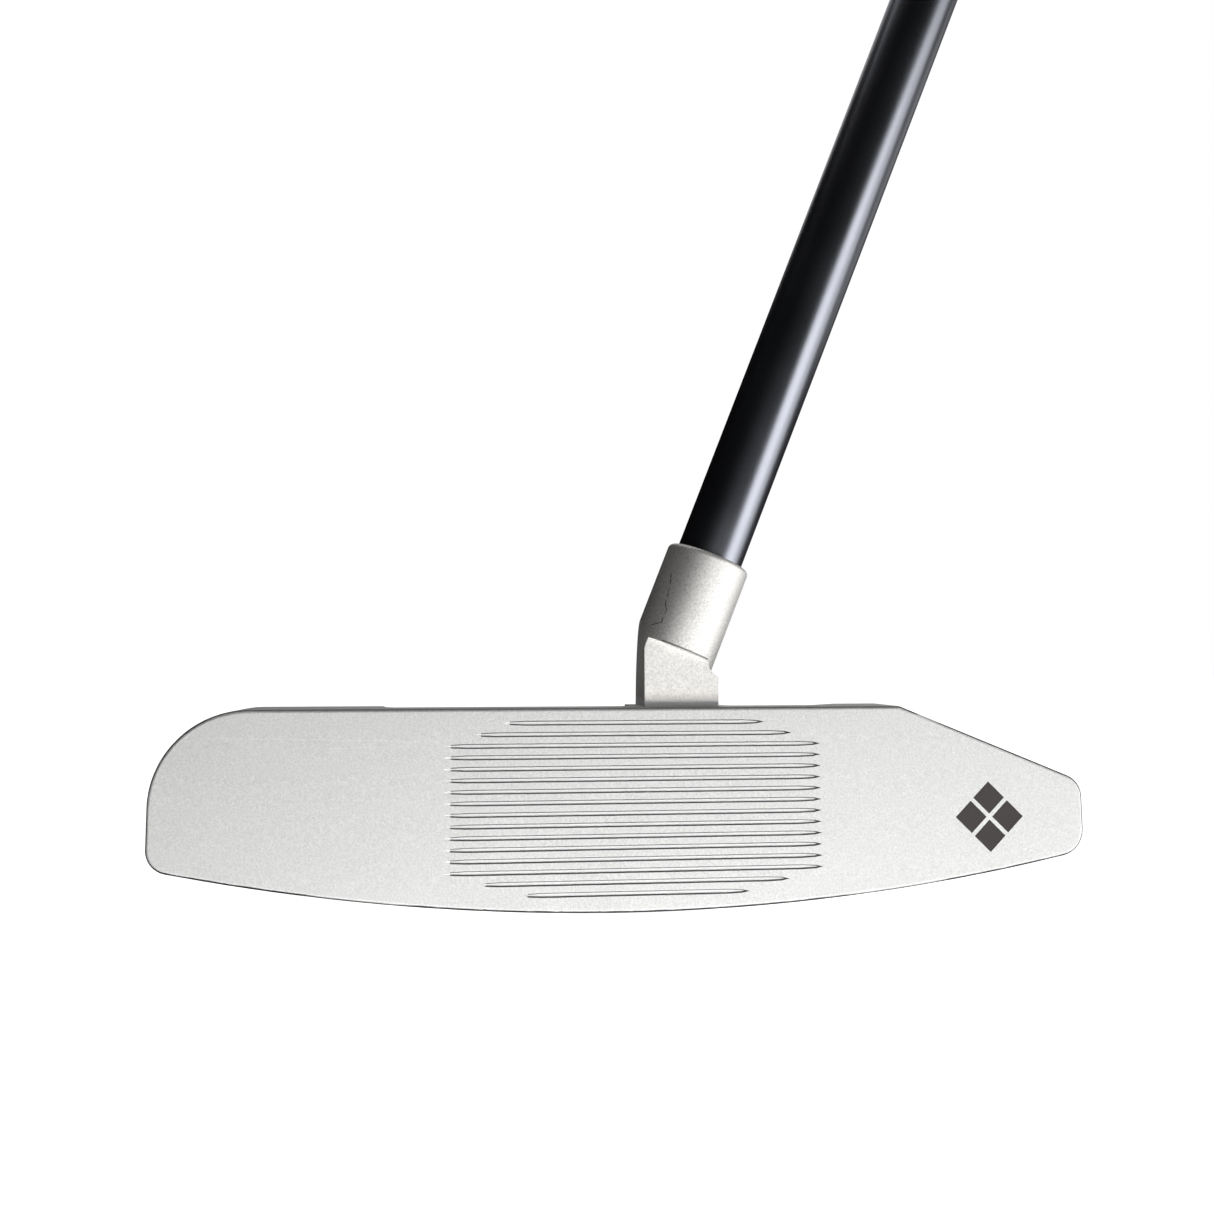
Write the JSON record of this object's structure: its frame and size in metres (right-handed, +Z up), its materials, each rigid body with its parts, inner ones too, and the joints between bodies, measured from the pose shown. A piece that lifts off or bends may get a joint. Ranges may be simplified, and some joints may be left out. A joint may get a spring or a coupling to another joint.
{
  "type": "blade putter",
  "caption": "Right-handed blade putter: milled grooved head with cavity back, short straight neck, black tapered shaft and pistol grip.",
  "frame": {"origin": "middle of the groove field on the strike face", "axes": "+X from toe to heel, +Y from the strike face to the back of the head, +Z up with the club soled as at address; the shaft leans 21.5 degrees from +Z towards +X"},
  "size_m": [0.3865, 0.033, 0.8065],
  "materials": {
    "head_steel": "fine bead-blasted stainless steel",
    "neck_steel": "fine bead-blasted stainless steel",
    "weight_steel": "turned stainless steel, satin",
    "fastener_steel": "black oxide steel",
    "dowel_steel": "ground steel",
    "paint_fill": "dark enamel paint in the engraving",
    "seal_rubber": "moulded rubber",
    "shaft_black": "satin black coated steel",
    "adhesive": "cured epoxy",
    "cork": "cork",
    "tape": "double-sided tape",
    "grip_rubber": "textured black rubber",
    "grip_inner": "plain inner rubber",
    "cap_rubber": "smooth hard rubber"
  },
  "bodies": {
    "root": {"head_body": "head_steel", "face_mark_fill": "paint_fill", "sight_line_fill": "paint_fill", "toe_weight": "weight_steel", "heel_weight": "weight_steel", "toe_weight_washer": "seal_rubber", "heel_weight_washer": "seal_rubber", "neck": "neck_steel", "neck_screw": "fastener_steel", "neck_screw_washer": "fastener_steel", "front_neck_dowel": "dowel_steel", "rear_neck_dowel": "dowel_steel", "shaft": "shaft_black", "adhesive_sleeve": "adhesive", "shaft_tip_plug": "cork", "grip_skin": "grip_rubber", "grip_core": "grip_inner", "grip_tape": "tape", "grip_cap": "cap_rubber"}
  },
  "joints": []
}
